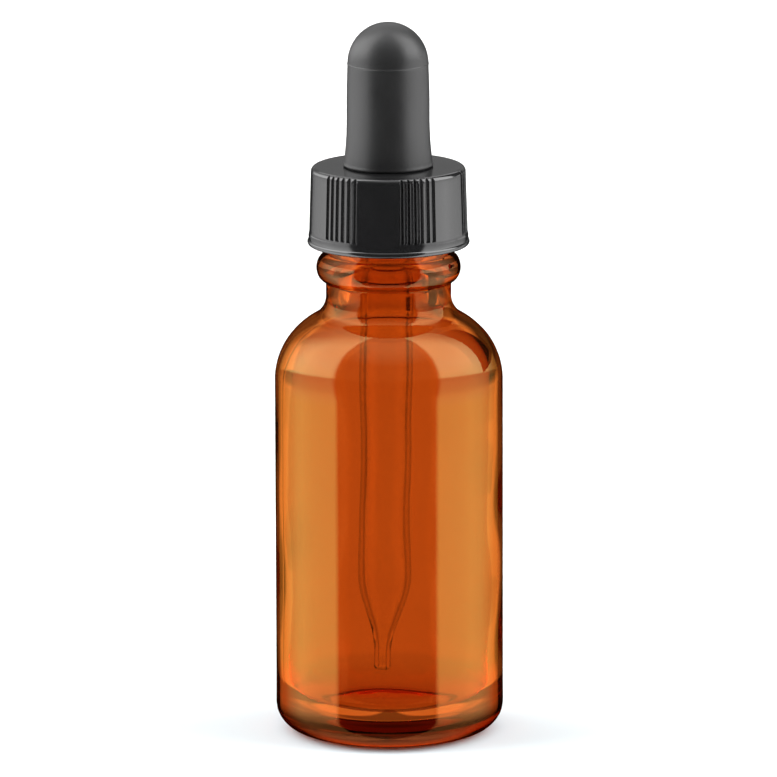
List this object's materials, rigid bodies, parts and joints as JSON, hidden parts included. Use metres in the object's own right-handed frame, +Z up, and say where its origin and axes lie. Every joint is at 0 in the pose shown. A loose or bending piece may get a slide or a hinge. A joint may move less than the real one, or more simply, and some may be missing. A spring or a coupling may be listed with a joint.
{
  "type": "ink dropper bottle",
  "caption": "Round-shouldered amber glass ink bottle with a ribbed screw cap, a rubber bulb and a glass dropper pipette that lifts out with the cap.",
  "frame": {"origin": "centre of the plane the bottle stands on", "axes": "+Z up along the bottle's axis, from the base to the top of the bulb; the pipette leans a little towards -X, and -Y is the side taken as the front"},
  "size_m": [0.0328, 0.0328, 0.1032],
  "materials": {
    "amber_glass": "clear glossy amber glass",
    "black_plastic": "glossy moulded black",
    "black_rubber": "satin black rubber",
    "clear_glass": "clear glossy glass"
  },
  "bodies": {
    "bottle": {"bottle": "amber_glass"},
    "dropper": {"glass_pipette": "clear_glass"},
    "cap": {"screw_cap": "black_plastic"},
    "bulb": {"rubber_bulb": "black_rubber"}
  },
  "joints": [
    {"name": "dropper_lift", "type": "slide", "parent": "bottle", "child": "dropper", "axis": [0, 0, 1], "range_m": [0, 0.00365]},
    {"name": "cap_turn", "type": "hinge", "parent": "dropper", "child": "cap", "pos_m": [0, 0, 0], "axis": [0, 0, 1], "range_deg": [0, 414]},
    {"name": "bulb_press", "type": "slide", "parent": "dropper", "child": "bulb", "axis": [0, 0, -1], "range_m": [0, 0.0035], "stiffness_N_per_m": 800, "deforming": ["rubber_bulb"]}
  ],
  "couplings": [
    {"joint": "cap_turn", "follows": "dropper_lift", "rad_per_m": 1979}
  ]
}
